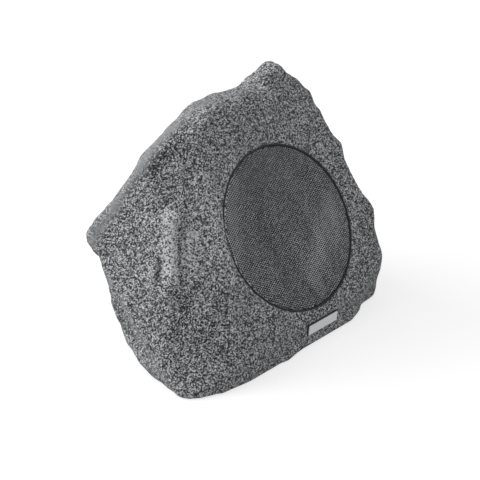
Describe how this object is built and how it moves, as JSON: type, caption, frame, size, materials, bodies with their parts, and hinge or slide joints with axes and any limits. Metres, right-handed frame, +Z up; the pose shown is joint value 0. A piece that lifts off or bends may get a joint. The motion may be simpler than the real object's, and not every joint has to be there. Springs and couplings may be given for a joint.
{
  "type": "rock shaped garden speaker",
  "caption": "Boulder shaped outdoor loudspeaker: a hollow granite-look shell on a flat base, with a leaning round perforated grille, a bare badge plate and a cable gland at the back.",
  "frame": {"origin": "middle of the base on the ground", "axes": "+Z up, the grille looks towards -Y and leans back by 30 degrees, +X to the right seen from the front"},
  "size_m": [0.3228, 0.2283, 0.2613],
  "materials": {
    "rock_granite": "moulded glass-fibre resin with a speckled granite finish",
    "grille_granite": "perforated sheet painted like the rock",
    "black_rubber": "matt black rubber",
    "black_cloth": "open black acoustic cloth",
    "badge_metal": "brushed bare plate",
    "badge_black": "black backing",
    "base_plastic": "black moulded plate",
    "gland_nylon": "black nylon",
    "zinc_steel": "zinc plated",
    "basket_steel": "black pressed steel",
    "cone_plastic": "black polypropylene",
    "cap_plastic": "black moulded dome",
    "coil_copper": "copper wire on a former",
    "spider_cloth": "corrugated resin-dipped cotton",
    "magnet_ferrite": "sintered ferrite",
    "plate_steel": "plated steel",
    "strip_board": "brown laminate",
    "tab_brass": "tinned tab",
    "core_iron": "varnished laminations",
    "winding_tape": "yellow polyester tape",
    "block_nylon": "natural nylon"
  },
  "bodies": {
    "enclosure": {"rock_shell": "rock_granite", "base_plate": "base_plastic", "base_gasket": "black_rubber", "base_screws": "zinc_steel", "grille": "grille_granite", "grille_gasket": "black_rubber", "grille_cloth": "black_cloth", "badge_backing": "badge_black", "badge_plate": "badge_metal", "driver_basket": "basket_steel", "driver_gasket": "black_rubber", "driver_screws": "zinc_steel", "surround": "black_rubber", "spider": "spider_cloth", "top_plate": "plate_steel", "magnet": "magnet_ferrite", "back_plate": "plate_steel", "terminal_strip": "strip_board", "terminal_tabs": "tab_brass", "gland_washer": "black_rubber", "gland_body": "gland_nylon", "gland_seal": "black_rubber", "gland_cap": "gland_nylon", "gland_lock_nut": "gland_nylon", "transformer_core": "core_iron", "transformer_winding": "winding_tape", "transformer_bracket": "zinc_steel", "transformer_screws": "zinc_steel", "terminal_block": "block_nylon", "terminal_block_screws": "zinc_steel"},
    "diaphragm": {"cone": "cone_plastic", "dust_cap": "cap_plastic", "voice_coil": "coil_copper"}
  },
  "joints": [
    {"name": "cone_travel", "type": "slide", "parent": "enclosure", "child": "diaphragm", "axis": [0, -0.866, 0.5], "range_m": [-0.0035, 0.0035], "stiffness_N_per_m": 2000, "deforming": ["surround", "spider"]}
  ]
}
